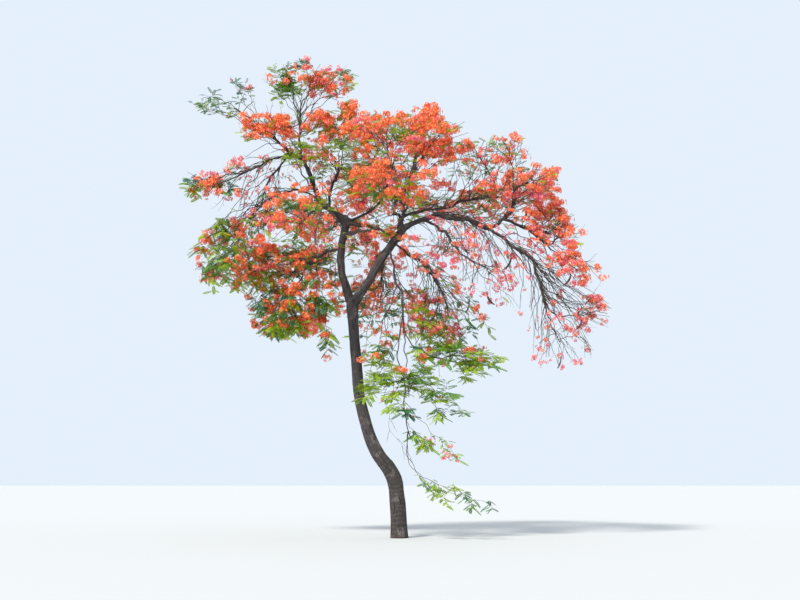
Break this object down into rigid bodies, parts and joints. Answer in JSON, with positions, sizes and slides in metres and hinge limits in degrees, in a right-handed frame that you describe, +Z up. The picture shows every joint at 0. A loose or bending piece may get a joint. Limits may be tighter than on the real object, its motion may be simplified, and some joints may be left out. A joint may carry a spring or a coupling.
{
  "type": "flame tree",
  "caption": "Flame tree in full bloom: a leaning forked trunk, arching boughs, a wide open crown of feathery leaves and orange blossom, and a long hanging branch.",
  "frame": {"origin": "middle of the flat cut under the trunk, at ground level", "axes": "+Z up; the long drooping bough reaches out along +X; the open side of the crown, where the fork shows, faces -Y"},
  "size_m": [11.6286, 7.7287, 13.0522],
  "materials": {
    "bark": "rough grey-brown bark, paler and pinkish on the lower trunk",
    "leaf": "soft yellow-green feathery leaves",
    "blossom": "vivid orange-red petals, slightly translucent looking, matte",
    "pod": "dry dark brown woody pods"
  },
  "bodies": {
    "root": {"trunk": "bark", "stem_west": "bark", "stem_east": "bark", "bough_west": "bark", "bough_west_arch": "bark", "bough_east": "bark", "bough_center": "bark", "bough_center_left": "bark", "bough_west_tip": "bark", "bough_west_drop": "bark", "bough_top": "bark", "bough_plate": "bark", "bough_heart_left": "bark", "bough_west_low": "bark", "bough_front_left": "bark", "bough_west_under": "bark", "bough_back_left": "bark", "bough_back": "bark", "bough_upper_east": "bark", "bough_east_rise": "bark", "bough_east_droop": "bark", "bough_east_out": "bark", "bough_inner_east": "bark", "bough_low_east": "bark", "bough_low_back": "bark", "bough_low_drop": "bark", "bough_hanging": "bark", "mass_top": "blossom", "mass_top_left": "leaf", "mass_plate_left": "blossom", "mass_dome_left": "blossom", "mass_heart_left": "leaf", "mass_dome_front": "blossom", "mass_heart_front": "blossom", "mass_dome_right": "blossom", "mass_dome_back": "blossom", "mass_back_high": "blossom", "mass_back_east": "blossom", "mass_back_left": "blossom", "mass_shoulder": "blossom", "mass_east_inner": "blossom", "mass_east_high": "blossom", "mass_east_peak": "blossom", "mass_east_edge": "blossom", "mass_east_low": "blossom", "mass_east_tip": "blossom", "mass_east_droop": "blossom", "mass_front_east": "blossom", "mass_mid_droop": "blossom", "mass_low_east": "blossom", "mass_green_east": "leaf", "mass_green_low": "leaf", "mass_hanging": "leaf", "mass_front_left": "blossom", "mass_west_tip": "blossom", "mass_west_mid": "blossom", "mass_west_low": "leaf", "mass_west_back": "leaf", "mass_west_skirt": "blossom", "mass_back_low": "leaf"}
  },
  "joints": []
}
